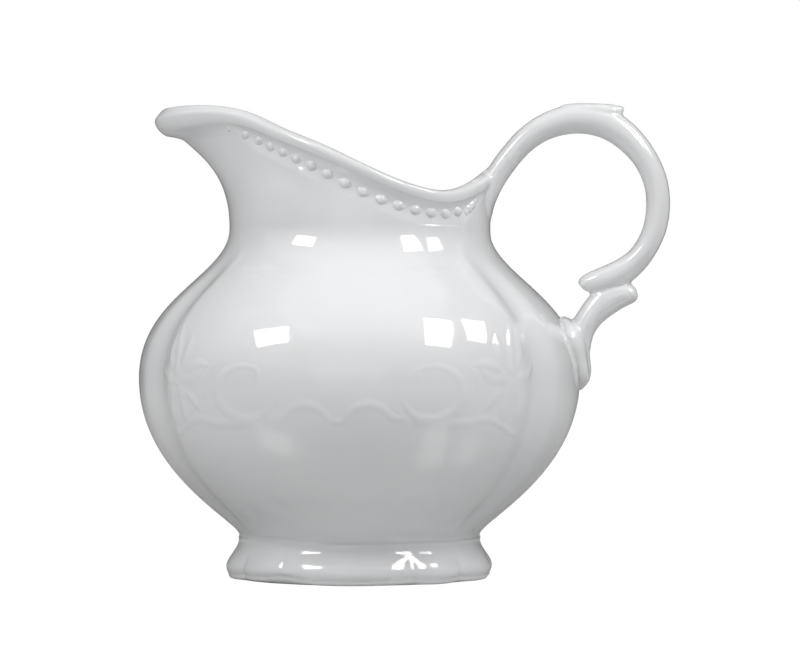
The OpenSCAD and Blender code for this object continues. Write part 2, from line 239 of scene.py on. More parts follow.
def thicken(obj, depth):
    """Gives a skin round the jug its depth inwards, behind its outer face."""
    mesh = obj.data
    mesh.update()
    outward = sum(f.normal.x * f.center.x + f.normal.y * f.center.y for f in mesh.polygons)
    if outward < 0:
        only(obj)
        bpy.ops.object.mode_set(mode="EDIT")
        bpy.ops.mesh.select_all(action="SELECT")
        bpy.ops.mesh.flip_normals()
        bpy.ops.object.mode_set(mode="OBJECT")
    use_modifier(obj, "SOLIDIFY", thickness=depth * MM, offset=-1)


def settle(obj, name):
    """Puts an object's place into its mesh and names it."""
    only(obj)
    bpy.ops.object.transform_apply(location=True, rotation=True, scale=True)
    obj.name = name
    obj.data.name = name
    return obj


def use_modifier(obj, kind, **settings):
    only(obj)
    modifier = obj.modifiers.new(kind.lower(), kind)
    for key, value in settings.items():
        setattr(modifier, key, value)
    if hasattr(modifier, "levels"):
        modifier.render_levels = modifier.levels
    bpy.ops.object.modifier_apply(modifier=modifier.name)


def draw_line(points):
    """Starts from a small plane merged to one point, and extrudes it along a line in x and z."""
    deselect()
    first = points[0] * MM
    bpy.ops.mesh.primitive_plane_add(size=MM, location=(first[0], 0, first[1]))
    obj = bpy.context.object
    only(obj)
    bpy.ops.object.transform_apply(location=True)
    bpy.ops.object.mode_set(mode="EDIT")
    bpy.ops.mesh.select_all(action="SELECT")
    bpy.ops.mesh.merge(type="CENTER")
    for p, q in zip(points[:-1], points[1:]):
        step = (q - p) * MM
        bpy.ops.mesh.extrude_region_move(TRANSFORM_OT_translate={"value": (step[0], 0, step[1])})
    return obj


def turn_on_wheel(name, profile, steps):
    """Spins a drawn profile once round the upright axis and closes its seam and poles."""
    obj = draw_line(profile)
    bpy.ops.mesh.select_all(action="SELECT")
    bpy.ops.mesh.spin(steps=steps, angle=2 * math.pi, center=(0, 0, 0), axis=(0, 0, 1))
    bpy.ops.mesh.select_all(action="SELECT")
    bpy.ops.mesh.remove_doubles(threshold=0.00001)
    bpy.ops.mesh.normals_make_consistent(inside=False)
    bpy.ops.object.mode_set(mode="OBJECT")
    return settle(obj, name)


def press(obj, shape):
    """Moves every point of a mesh by a function of its place in mm."""
    mesh = obj.data
    co = np.empty(len(mesh.vertices) * 3)
    mesh.vertices.foreach_get("co", co)
    co = shape(co.reshape(-1, 3) / MM) * MM
    mesh.vertices.foreach_set("co", co.ravel())
    mesh.update()


def smooth_faces(obj):
    only(obj)
    bpy.ops.object.shade_smooth()


def join(parts, name):
    deselect()
    for part in parts:
        part.select_set(True)
    bpy.context.view_layer.objects.active = parts[0]
    bpy.ops.object.join()
    return settle(bpy.context.object, name)


# ------------------------------------------------------------------ glaze and biscuit

def group_socket(group, name, direction, kind, value=None):
    socket = group.interface.new_socket(name=name, in_out=direction, socket_type=kind)
    if value is not None:
        socket.default_value = value
    return socket


def make_glaze_flow():
    """Waves, specks and faint mottling of a fired glaze."""
    group = bpy.data.node_groups.new("glaze_flow", "ShaderNodeTree")
    group_socket(group, "Colour", "INPUT", "NodeSocketColor", (0.8, 0.8, 0.8, 1))
    group_socket(group, "Thick colour", "INPUT", "NodeSocketColor", (0.7, 0.72, 0.74, 1))
    group_socket(group, "Gloss", "INPUT", "NodeSocketFloat", 0.07)
    group_socket(group, "Colour", "OUTPUT", "NodeSocketColor")
    group_socket(group, "Roughness", "OUTPUT", "NodeSocketFloat")
    group_socket(group, "Height", "OUTPUT", "NodeSocketFloat")
    nodes, links = group.nodes, group.links
    given = nodes.new("NodeGroupInput")
    result = nodes.new("NodeGroupOutput")
    coord = nodes.new("ShaderNodeTexCoord")

    def noise(scale, detail, roughness=0.5):
        node = nodes.new("ShaderNodeTexNoise")
        node.inputs["Scale"].default_value = scale
        node.inputs["Detail"].default_value = detail
        node.inputs["Roughness"].default_value = roughness
        links.new(coord.outputs["Object"], node.inputs["Vector"])
        return node

    def maths(operation, first, second):
        node = nodes.new("ShaderNodeMath")
        node.operation = operation
        for socket, value in zip(node.inputs, (first, second)):
            if isinstance(value, (int, float)):
                socket.default_value = value
            else:
                links.new(value, socket)
        return node.outputs[0]

    def ranged(value, low, high, to_low, to_high):
        node = nodes.new("ShaderNodeMapRange")
        links.new(value, node.inputs["Value"])
        for key, number in zip(("From Min", "From Max", "To Min", "To Max"), (low, high, to_low, to_high)):
            node.inputs[key].default_value = number
        return node.outputs[0]

    def mixed(factor, first, second):
        node = nodes.new("ShaderNodeMix")
        node.data_type = "RGBA"
        links.new(factor, node.inputs[0])
        for socket, value in ((node.inputs[6], first), (node.inputs[7], second)):
            if isinstance(value, tuple):
                socket.default_value = value
            else:
                links.new(value, socket)
        return node.outputs[2]

    waves = noise(70, 1.5)
    ripple = noise(260, 1)
    mottle = noise(45, 3, 0.6)
    thick = ranged(mottle.outputs["Fac"], 0.35, 0.75, 0, 0.55)
    colour = mixed(thick, given.outputs["Colour"], given.outputs["Thick colour"])
    cells = nodes.new("ShaderNodeTexVoronoi")
    cells.inputs["Scale"].default_value = 62
    links.new(coord.outputs["Object"], cells.inputs["Vector"])
    dot = ranged(cells.outputs["Distance"], 0.012, 0.02, 1, 0)
    tint = nodes.new("ShaderNodeSeparateColor")
    links.new(cells.outputs["Color"], tint.inputs[0])
    rare = maths("GREATER_THAN", tint.outputs[0], 0.93)
    speck = maths("MULTIPLY", dot, rare)
    colour = mixed(maths("MULTIPLY", speck, 0.75), colour, (0.16, 0.13, 0.11, 1))
    links.new(colour, result.inputs["Colour"])
    links.new(maths("MULTIPLY", given.outputs["Gloss"], ranged(ripple.outputs["Fac"], 0.3, 0.7, 0.8, 1.25)),
              result.inputs["Roughness"])
    height = maths("ADD", waves.outputs["Fac"], maths("MULTIPLY", ripple.outputs["Fac"], 0.16))
    links.new(height, result.inputs["Height"])
    return group


def make_glaze(name, flow, colour, thick_colour, gloss, wave_depth):
    material = bpy.data.materials.new(name)
    material.use_nodes = True
    nodes, links = material.node_tree.nodes, material.node_tree.links
    shader = nodes["Principled BSDF"]
    glaze = nodes.new("ShaderNodeGroup")
    glaze.node_tree = flow
    glaze.inputs["Colour"].default_value = (*colour, 1)
    glaze.inputs["Thick colour"].default_value = (*thick_colour, 1)
    glaze.inputs["Gloss"].default_value = gloss
    relief = nodes.new("ShaderNodeBump")
    relief.inputs["Strength"].default_value = 1.0
    relief.inputs["Distance"].default_value = wave_depth
    links.new(glaze.outputs["Height"], relief.inputs["Height"])
    links.new(relief.outputs["Normal"], shader.inputs["Normal"])
    links.new(glaze.outputs["Colour"], shader.inputs["Base Color"])
    links.new(glaze.outputs["Roughness"], shader.inputs["Roughness"])
    shader.inputs["IOR"].default_value = 1.52
    shader.inputs["Coat Weight"].default_value = 0.35
    shader.inputs["Coat Roughness"].default_value = 0.03
    return material


def make_biscuit():
    """Bare fired clay of the resting edge, a little soiled from use."""
    material = bpy.data.materials.new("biscuit_edge")
    material.use_nodes = True
    nodes, links = material.node_tree.nodes, material.node_tree.links
    shader = nodes["Principled BSDF"]
    coord = nodes.new("ShaderNodeTexCoord")
    grain = nodes.new("ShaderNodeTexNoise")
    grain.inputs["Scale"].default_value = 2600
    grain.inputs["Detail"].default_value = 3
    soil = nodes.new("ShaderNodeTexNoise")
    soil.inputs["Scale"].default_value = 160
    soil.inputs["Detail"].default_value = 4
    ramp = nodes.new("ShaderNodeValToRGB")
    ramp.color_ramp.elements[0].position = 0.35
    ramp.color_ramp.elements[0].color = (0.70, 0.66, 0.59, 1)
    ramp.color_ramp.elements[1].position = 0.62
    ramp.color_ramp.elements[1].color = (0.83, 0.81, 0.77, 1)
    relief = nodes.new("ShaderNodeBump")
    relief.inputs["Distance"].default_value = 0.00005
    relief.inputs["Strength"].default_value = 0.8
    for node in (grain, soil):
        links.new(coord.outputs["Object"], node.inputs["Vector"])
    links.new(soil.outputs["Fac"], ramp.inputs["Fac"])
    links.new(ramp.outputs["Color"], shader.inputs["Base Color"])
    links.new(grain.outputs["Fac"], relief.inputs["Height"])
    links.new(relief.outputs["Normal"], shader.inputs["Normal"])
    shader.inputs["Roughness"].default_value = 0.78
    return material


flow = make_glaze_flow()
WHITE = (0.80, 0.805, 0.81)
POOLED = (0.765, 0.775, 0.785)
wall_glaze = make_glaze("white_glaze", flow, WHITE, POOLED, 0.06, 0.00012)
foot_glaze = make_glaze("foot_glaze", flow, WHITE, POOLED, 0.07, 0.0001)
handle_glaze = make_glaze("handle_glaze", flow, WHITE, POOLED, 0.06, 0.00008)
ornament_glaze = make_glaze("ornament_glaze", flow, WHITE, POOLED, 0.07, 0.0001)
biscuit = make_biscuit()


def finish_piece(obj, slot, material, *nodes):
    smooth_faces(obj)
    obj.data.materials.clear()
    obj.data.materials.append(material)
    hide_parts(*nodes)
    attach(obj, "root")


# ------------------------------------------------------------------ the body

def lip_offsets():
    """Rolled lip, as distances along the wall and across it, from the outside over to the inside."""
    return through([(-1.7, 0.0), (-1.1, 0.06), (-0.5, 0.19), (0.15, 0.38), (0.9, 0.42), (1.55, 0.24),
                    (2.0, -0.1), (2.2, -0.75), (2.25, -1.5), (2.1, -2.3), (1.6, -2.85), (0.8, -3.08),
                    (0.0, -WALL)], 3)


CHANNEL_DEPTH = 0.5


def channel_edge(s):
    """Distance below the lip of the beaded channel's lower edge, at each side angle."""
    return (7.5 + 0.9 * bump(s - 88, 30) - 5.6 * smooth((s - 138) / 17) - 4.2 * smooth((30 - s) / 18))


def bead_channel(s, down):
    """Depth of the hollow under the lip that the beads lie in."""
    return CHANNEL_DEPTH * smooth((down - 1.4) / 3.4) * smooth((channel_edge(s) + 0.4 - down) / 3.2)


def straight_pot():
    """Profile of the jug before its mouth is pushed out: the collar stands straight up."""
    under = np.stack([np.linspace(0, WAIST_R, 7), np.full(7, FOOT_H)], -1)
    low = bezier(LOWER_BELLY, np.linspace(0, 1, 84))[1:]
    high = bezier(UPPER_BELLY, np.linspace(0, 1, 62))[1:]
    collar_z = np.linspace(NECK_Z, NECK_Z + COLLAR - 1.7, 74)[1:]
    collar = np.stack([np.full_like(collar_z, NECK_R), collar_z], -1)
    lip = lip_offsets()[1:]
    lip = np.stack([NECK_R + lip[:, 1], NECK_Z + COLLAR + lip[:, 0]], -1)
    inside_z = np.linspace(NECK_Z + COLLAR, NECK_Z, 18)[1:]
    inside = np.stack([np.full_like(inside_z, NECK_R - WALL), inside_z], -1)
    t = np.linspace(1, 0, 18)[1:]
    inner_high = bezier(UPPER_BELLY, t) - WALL * out_normal(bezier_slope(UPPER_BELLY, t))
    inner_low = bezier(INNER_BELLY, np.linspace(1, 0, 18)[1:])
    floor = np.stack([np.linspace(WAIST_R - 8, 0, 8)[1:], np.full(7, FLOOR_Z)], -1)
    return np.vstack([under, low, high, collar, lip, inside, inner_high, inner_low, floor])


def push_out_mouth(p):
    """Pushes the straight collar into the mouth and spout, and presses in the flutes and the channel."""
    x, y, z = p[:, 0], p[:, 1], p[:, 2]
    r = np.hypot(x, y)
    a = np.degrees(np.arctan2(y, x))
    out = p.copy()

    belly = (z > FOOT_H + 0.01) & (z <= NECK_Z + 1e-4)
    outer = belly & (r > np.interp(z, BELLY_TABLE[BELLY_ORDER, 1], BELLY_TABLE[BELLY_ORDER, 0]) - 0.6)
    new_r = r[outer] - flute(a[outer], z[outer]) - panel_step(a[outer], z[outer])
    out[outer, 0] = new_r * np.cos(np.radians(a[outer]))
    out[outer, 1] = new_r * np.sin(np.radians(a[outer]))

    top = z > NECK_Z + 1e-4
    a, z, v = a[top], z[top], r[top] - NECK_R
    curve = mouth_curve(a)
    t = np.clip((z - NECK_Z) / COLLAR, 0, None)
    fat = 1 + 0.9 * spout_swell(a)
    proud = 1 + 0.6 * spout_swell(a)
    slope_end = np.linalg.norm(bezier_slope(curve, np.ones_like(a)), axis=-1)
    past = z - (NECK_Z + COLLAR)
    # Near the lip a step along the collar is the same step in mm along the mouth's wall.
    near = past > -LIP_SPAN
    below = t * (1 - LIP_SPAN / slope_end) / (1 - LIP_SPAN / COLLAR)
    t = np.where(near, 1 + np.minimum(past, 0) / slope_end, below)
    t_in = np.clip(t, 0, 1)
    along = unit(bezier_slope(curve, t_in))
    across = out_normal(bezier_slope(curve, t_in))
    down = (1 - t_in) * slope_end + LIP_OVER_WALL
    outside = v > -WALL * 0.5
    v = np.where(outside & (past < -0.2), v - bead_channel(side_angle(a), down), v)
    nose = 1.5 * spout_swell(a) * smooth((6.2 - down) / 4.0) * smooth((v + 1.6) / 1.6)
    u = np.maximum(past, 0) * fat
    rz = bezier(curve, t_in) + u[:, None] * along + (v * np.where(v > 0, proud, 1) + nose)[:, None] * across
    out[top] = turned(a, rz)
    return out


jug = turn_on_wheel("jug_wall", straight_pot(), TURNS)
press(jug, push_out_mouth)
finish_piece(jug, "glaze", wall_glaze, "jug_body")


# ------------------------------------------------------------------ the foot

LOBE_EDGES = [29.0, 55.0, 90.0]


def lobes(a):
    """0 at the notches between the foot's lobes and 1 in their middles."""
    from_side = np.abs(side_angle(a) - 90)
    value = np.zeros_like(from_side)
    edges = [-LOBE_EDGES[0]] + LOBE_EDGES
    for low, high in zip(edges[:-1], edges[1:]):
        inside = (from_side >= low) & (from_side <= high)
        share = (from_side - low) / (high - low)
        value = np.where(inside, np.sin(np.pi * np.clip(share, 0, 1)) ** 0.7, value)
    return value


def foot_profile():
    flank = bezier(np.array([(FOOT_R - 0.5, FOOT_H * 0.1), (FOOT_R + 1.5, FOOT_H * 0.49),
                             (WAIST_R - 0.6, FOOT_H * 0.62), (WAIST_R, FOOT_H)]), np.linspace(0, 1, 30))
    edge = through([(REST_OUT, 0), (REST_OUT + 0.4, 0.12), (REST_OUT + 0.62, 0.45), tuple(flank[0])], 3)
    rest = np.stack([np.linspace(REST_OUT - REST_W, REST_OUT, 9), np.zeros(9)], -1)
    bore = through([(BORE_R - 1, FOOT_H), (BORE_R - 0.4, FOOT_H * 0.6), (BORE_R + 0.2, FOOT_H * 0.22),
                    (REST_OUT - REST_W, 0)], 5)
    top = np.stack([np.linspace(WAIST_R, BORE_R - 1, 6), np.full(6, FOOT_H)], -1)
    return np.vstack([rest, edge[1:], flank[1:], top[1:], bore[1:]])


def press_lobes(p):
    r = np.hypot(p[:, 0], p[:, 1])
    a = np.degrees(np.arctan2(p[:, 1], p[:, 0]))
    z = p[:, 2]
    notch = 1 - lobes(a)
    outer = smooth((r - (FOOT_R - 2.6)) / 2.2)
    depth = 0.7 * notch * outer * smooth((FOOT_H - z) / 5)
    lift = (0.5 * notch + 0.55 * bump(side_angle(a) - 126, 15)) * outer * bump(z - 0.6, 1.6)
    new_r = r - depth
    return np.stack([new_r * np.cos(np.radians(a)), new_r * np.sin(np.radians(a)), z + lift], -1)


foot = turn_on_wheel("foot", foot_profile(), TURNS)
press(foot, press_lobes)
finish_piece(foot, "foot_glaze", foot_glaze, "foot_ring")
foot.data.materials.append(biscuit)
for face in foot.data.polygons:
    flat_r = math.hypot(face.center.x, face.center.y) / MM
    if face.center.z < 0.25 * MM and REST_OUT - REST_W - 0.1 < flat_r < REST_OUT + 0.25:
        face.material_index = 1


# ------------------------------------------------------------------ the handle

def oval_bar(name, stations, sides=16):
    """A filled circle, extruded from station to station and laid on each of them.

    Stations are [outer x, outer z, inner x, inner z, half breadth] in mm.
    """
    deselect()
    bpy.ops.mesh.primitive_circle_add(vertices=sides, radius=MM, fill_type="NGON")
    obj = bpy.context.object
    turns = np.radians(np.arange(sides) * 360 / sides)

    def lay(station):
        xo, zo, xi, zi, b = station
        c = (1 + np.cos(turns)) / 2
        ring = np.stack([xi + (xo - xi) * c, b * np.sin(turns), zi + (zo - zi) * c], -1) * MM
        bpy.ops.object.mode_set(mode="OBJECT")
        chosen = [v for v in obj.data.vertices if v.select]
        for vertex, place in zip(chosen, ring):
            vertex.co = place
        bpy.ops.object.mode_set(mode="EDIT")

    bpy.ops.object.mode_set(mode="EDIT")
    bpy.ops.mesh.select_mode(type="FACE")
    bpy.ops.mesh.select_all(action="SELECT")
    lay(stations[0])
    for station in stations[1:]:
        bpy.ops.mesh.extrude_region_move(TRANSFORM_OT_translate={"value": (0, 0, 0)})
        lay(station)
    turn_faces_out(obj)
    return settle(obj, name)


LOOP = [
    (27.2, 89.9, 27.2, 77.2, 7.4),
    (28.6, 90.9, 29.0, 78.6, 6.0),
    (30.0, 92.9, 30.2, 82.8, 4.9),
    (32.0, 95.5, 32.6, 87.6, 4.2),
    (35.6, 99.4, 37.4, 93.7, 3.75),
    (40.7, 102.8, 42.3, 97.0, 3.6),
    (47.3, 104.8, 47.8, 98.2, 3.6),
    (54.4, 104.2, 52.6, 97.6, 3.6),
    (59.9, 101.2, 56.6, 95.6, 3.6),
    (64.6, 96.0, 60.6, 91.8, 3.6),
    (67.8, 89.8, 62.9, 87.4, 3.6),
    (68.95, 83.6, 63.6, 82.6, 3.6),
    (68.3, 77.4, 62.8, 77.3, 3.6),
    (66.3, 72.5, 60.5, 73.0, 3.6),
    (63.6, 68.5, 57.4, 70.5, 3.6),
    (60.2, 65.3, 53.8, 68.8, 3.6),
    (56.0, 63.3, 50.7, 67.5, 3.3),
    (52.0, 62.9, 48.9, 66.2, 2.5),
    (49.9, 63.6, 48.5, 65.2, 1.2),
]
LOWER_SCROLL = [
    (61.9, 62.2, 61.3, 64.0, 1.3),
    (61.2, 61.0, 59.9, 65.0, 2.7),
    (58.9, 59.8, 56.4, 65.2, 3.1),
    (56.5, 58.3, 52.6, 63.8, 3.2),
    (53.9, 56.3, 49.9, 60.9, 3.3),
    (52.1, 53.8, 47.6, 57.3, 3.6),
    (51.3, 50.4, 45.4, 53.8, 3.4),
]
SPUR = [
    (45.0, 104.7, 45.2, 102.8, 1.4),
    (48.4, 105.0, 48.6, 102.6, 2.7),
    (53.2, 104.9, 53.4, 102.0, 2.9),
    (56.8, 104.6, 56.6, 101.4, 2.4),
    (58.9, 104.1, 58.3, 102.2, 1.0),
]
LEAF = [(57.6, 1.6, 0.7), (56.0, 4.6, 2.0), (54.0, 7.4, 2.9), (51.2, 7.7, 3.1), (48.2, 6.5, 2.6),
        (45.6, 5.4, 2.6), (43.8, 4.0, 2.3), (42.6, 2.4, 1.5), (41.3, 0.5, 0.3)]


def casting_leaf():
    """A grid laid on the belly and swelled into a leaf with a crisp edge and a soft midrib."""
    deselect()
    bpy.ops.mesh.primitive_grid_add(x_subdivisions=28, y_subdivisions=64, size=2)
    obj = bpy.context.object
    rows = through(LEAF, 4)[::-1]

    def lay(p):
        p = p * MM
        s, height = p[:, 0], LEAF[-1][0] + (p[:, 1] + 1) / 2 * (LEAF[0][0] - LEAF[-1][0])
        half = np.interp(height, rows[:, 0], rows[:, 1])
        thick = np.interp(height, rows[:, 0], rows[:, 2])
        ridges = 0.10 * np.cos(np.clip(s, -1, 1) * 3 * np.pi) * smooth((height - 43) / 4)
        dome = np.sqrt(np.clip(1 - np.abs(s) ** 2.2, 0, 1)) * (0.94 + ridges)
        lift = thick * dome - 0.5 * (np.abs(s) > 0.97)
        return on_belly(np.degrees(s * half / BELLY_R), height, lift)

    press(obj, lay)
    use_modifier(obj, "SOLIDIFY", thickness=1.3 * MM, offset=-1)
    turn_faces_out(obj)
    return settle(obj, "leaf")


PAD_HALF_ANGLE = 34.0


def root_pad():
    """A skin over the wall and the lip round the handle's root, which the root melts into."""
    deselect()
    bpy.ops.mesh.primitive_grid_add(x_subdivisions=60, y_subdivisions=90, size=2)
    obj = bpy.context.object
    lip = lip_offsets()
    collar_z = np.linspace(NECK_Z - 9, NECK_Z + COLLAR - LIP_SPAN, 60)
    inside_z = np.linspace(NECK_Z + COLLAR - 0.5, NECK_Z + COLLAR - 5, 12)
    line = np.vstack([np.stack([np.zeros(60), collar_z], -1),
                      np.stack([lip[:, 1], NECK_Z + COLLAR + lip[:, 0]], -1),
                      np.stack([np.full(12, -WALL), inside_z], -1)])
    place = np.concatenate([[0], np.cumsum(np.linalg.norm(np.diff(line, axis=0), axis=1))])
    place /= place[-1]

    def lay(p):
        p = p * MM
        share = (p[:, 1] + 1) / 2
        a = p[:, 0] * PAD_HALF_ANGLE
        v = np.interp(share, place, line[:, 0])
        z = np.interp(share, place, line[:, 1])
        rim = np.maximum(np.abs(p[:, 0]), np.abs(2 * share - 1))
        lift = 0.30 - 0.75 * smooth((rim - 0.45) / 0.55)
        on_low = z <= NECK_Z
        out = np.empty_like(p)
        out[on_low] = on_belly(a[on_low], z[on_low], lift[on_low])
        up = ~on_low
        rad = np.radians(a[up])
        r = NECK_R + v[up]
        out[up] = push_out_mouth(np.stack([r * np.cos(rad), r * np.sin(rad), z[up]], -1))
        return out

    def lift_off(p):
        """Shifts the skin along its own face: proud in the middle and sunk at its edges."""
        mesh = obj.data
        normal = np.empty(len(mesh.vertices) * 3)
        mesh.vertices.foreach_get("normal", normal)
        grid = grid_places * MM
        share = (grid[:, 1] + 1) / 2
        rim = np.maximum(np.abs(grid[:, 0]), np.abs(2 * share - 1))
        lift = 0.22 - 0.62 * smooth((rim - 0.5) / 0.5)
        lift[np.interp(share, place, line[:, 1]) <= NECK_Z] = 0
        return p + normal.reshape(-1, 3) * lift[:, None]

    grid_places = np.empty(len(obj.data.vertices) * 3)
    obj.data.vertices.foreach_get("co", grid_places)
    grid_places = grid_places.reshape(-1, 3) / MM
    press(obj, lay)
    press(obj, lift_off)
    use_modifier(obj, "SOLIDIFY", thickness=1.2 * MM, offset=-1)
    turn_faces_out(obj)
    return settle(obj, "root_pad")


def cast_together(parts, name, grain, rounds):
    """Runs pieces into one skin, as slip does, and softens it as glaze does."""
    piece = join(parts, name)
    use_modifier(piece, "REMESH", mode="VOXEL", voxel_size=grain * MM)
    use_modifier(piece, "SMOOTH", factor=0.5, iterations=rounds)
    return piece


handle = cast_together(
    [oval_bar("loop", through(LOOP, 3)), oval_bar("lower_scroll", through(LOWER_SCROLL, 3)),
     oval_bar("spur", through(SPUR, 3)), casting_leaf(), root_pad()], "handle_casting", 0.34, 10)
finish_piece(handle, "glaze", handle_glaze,
             "handle_loop", "handle_lower_scroll", "handle_leaf", "thumb_spur")


# ------------------------------------------------------------------ beads under the lip

BEADS = 15
BEAD_D = 2.7
FIRST_BEAD, LAST_BEAD = 36, 145          # side angles of the two end beads
BUD_SWELL = 0.13                         # how much larger the low buds by the spout are
LEAF_TIPS = ((151.5, 3.9, 0.85), (155.5, 3.7, 0.8), (160.0, 3.2, 0.75))     # side angle, drop, radius


def bead_drop(s):
    """The string hangs a little lower in the middle than at its two ends."""
    return 4.9 + 1.3 * bump(s - 85, 24) - 1.6 * smooth((s - 146) / 12)


def under_lip(side, s, drop, lift):
    """One place on the mouth's outer face, some mm below the lip."""
    s = np.array([s])
    return mouth_point(side * s, below_lip(s, np.array([drop])), np.array([lift]))[0]


def ball(spot, radius, segments, rings):
    deselect()
    bpy.ops.mesh.primitive_uv_sphere_add(segments=segments, ring_count=rings, radius=radius * MM,
                                         location=tuple(spot * MM))
    return bpy.context.object


def bead_string(name, side, node):
    parts = []
    for i, s in enumerate(np.linspace(FIRST_BEAD, LAST_BEAD, BEADS)):
        bud = smooth((s - 100) / 25)            # towards the spout the beads turn into low buds
        spot = under_lip(side, s, bead_drop(s), -0.97 - 0.25 * bud)
        bead = ball(spot, BEAD_D / 2 * (1 + BUD_SWELL * bud), 20, 12)
        bpy.ops.object.mode_set(mode="EDIT")
        bpy.ops.mesh.select_all(action="SELECT")
        bpy.ops.transform.resize(value=(1.0, 1.0, 0.94 - 0.12 * bud * (i % 2)))
        bpy.ops.object.mode_set(mode="OBJECT")
        parts.append(bead)
    # three small leaf tips beyond the string, under the spout's lip
    for s, drop, radius in LEAF_TIPS:
        parts.append(ball(under_lip(side, s, drop, -0.35), radius, 14, 8))
    # the last bud by the handle's root, drawn out into a leaf
    for t in np.linspace(0, 1, 5):
        spot = under_lip(side, 30.0 - 11.0 * t, 6.0 - 2.6 * t, -0.85)
        parts.append(ball(spot, 1.35 - 0.55 * abs(2 * t - 0.8), 16, 10))
    deselect()
    bpy.ops.mesh.primitive_grid_add(x_subdivisions=220, y_subdivisions=12, size=2)
    web = bpy.context.object

    def lay(p):
        p = p * MM
        s = 90 + p[:, 0] * 71
        across = p[:, 1]
        lift = -0.50 - 0.5 * np.abs(across) ** 2 - 0.5 * smooth((np.abs(p[:, 0]) - 0.92) / 0.08)
        return mouth_point(side * s, below_lip(s, bead_drop(s) + 1.5 * across), lift)

    press(web, lay)
    thicken(web, 0.9)
    string = cast_together(parts + [web], name, 0.24, 14)
    finish_piece(string, "ornament_glaze", ornament_glaze, node)


bead_string("lip_beads_near", -1, "bead_string_near")
bead_string("lip_beads_far", 1, "bead_string_far")


# ------------------------------------------------------------------ low relief on the belly

def stroke_height(s, z, stroke):
    """Height of one stroke over a grid of places; a stroke is rows of [s, z, half width, height]."""
    rows = through(stroke, 6)
    best = np.zeros_like(s)
    for p, q in zip(rows[:-1], rows[1:]):
        ds, dz = q[0] - p[0], q[1] - p[1]
        t = np.clip(((s - p[0]) * ds + (z - p[1]) * dz) / max(ds * ds + dz * dz, 1e-9), 0, 1)
        gap = np.hypot(s - p[0] - t * ds, z - p[1] - t * dz)
        width = p[2] + (q[2] - p[2]) * t
        height = p[3] + (q[3] - p[3]) * t
        here = height * np.exp(-(gap / np.maximum(1.15 * width, 0.05)) ** 2)
        best = np.maximum(best, here)
    return best


RELIEF_SKIN = 0.5        # depth of the relief's skin behind its face
RELIEF_LOW = 0.28        # the glaze fills the relief and leaves this share of its height


def relief(name, node, side, s_range, z_range, strokes):
    """A grid laid on the belly, raised under the strokes, with its bare parts cut away."""
    s0, s1 = s_range
    z0, z1 = z_range
    step = 0.3
    deselect()
    bpy.ops.mesh.primitive_grid_add(x_subdivisions=int((s1 - s0) / step),
                                    y_subdivisions=int((z1 - z0) / step), size=2)
    obj = bpy.context.object
    co = np.empty(len(obj.data.vertices) * 3)
    obj.data.vertices.foreach_get("co", co)
    co = co.reshape(-1, 3)
    s = s0 + (co[:, 0] + 1) / 2 * (s1 - s0)
    z = z0 + (co[:, 1] + 1) / 2 * (z1 - z0)
    total = np.zeros_like(s)
    for stroke in strokes:
        high = stroke_height(s, z, stroke)
        total = np.sqrt(total ** 2 + high ** 2)
    total *= RELIEF_LOW
    spread = side * (90 - np.degrees(s / BELLY_R))
    soft = total * smooth(total / 0.2)
    tucked = 0.08 * (1 - smooth(total / 0.03))     # the patch's edge goes under the wall's face
    press(obj, lambda p: on_belly(spread, z, soft - panel_step(spread, z) - 0.014 - tucked))
    only(obj)
    bpy.ops.object.mode_set(mode="EDIT")
    bpy.ops.mesh.select_mode(type="VERT")
    bpy.ops.mesh.select_all(action="DESELECT")
    bpy.ops.object.mode_set(mode="OBJECT")
    for vertex, bare in zip(obj.data.vertices, total < 0.002):
        vertex.select = bool(bare)
    bpy.ops.object.mode_set(mode="EDIT")
    bpy.ops.mesh.delete(type="VERT")
    bpy.ops.object.mode_set(mode="OBJECT")
    thicken(obj, RELIEF_SKIN)
    settle(obj, name)
    finish_piece(obj, "ornament_glaze", ornament_glaze, node)
    return obj


def mm_at(degrees):
    return math.radians(degrees) * BELLY_R


def arc(cs, cz, rs, rz, start, end, width, height, count=9):
    """Rows along an oval arc that swells in its middle."""
    rows = []
    for i in range(count):
        t = i / (count - 1)
        turn = math.radians(start + (end - start) * t)
        swell = math.sin(math.pi * t)
        rows.append((cs + rs * math.cos(turn), cz + rz * math.sin(turn),
                     width * (0.55 + 0.45 * swell), height * (0.5 + 0.5 * swell)))
    return rows


def leaf_stroke(s, z, turn, length, width, height, bend=0.0):
    """A pointed leaf from its foot, with its line bent to one side."""
    rows = []
    for t, w, h in ((0, 0.25, 0.5), (0.25, 0.8, 0.9), (0.5, 1, 1), (0.75, 0.75, 0.85), (1, 0.2, 0.35)):
        angle = math.radians(turn + bend * t)
        rows.append((s + length * t * math.cos(angle), z + length * t * math.sin(angle),
                     width * w, height * h))
    return rows


SCROLL_ANGLE = 24.0
SCROLL_Z = 41.6
SPRIG_ANGLE = 47.0


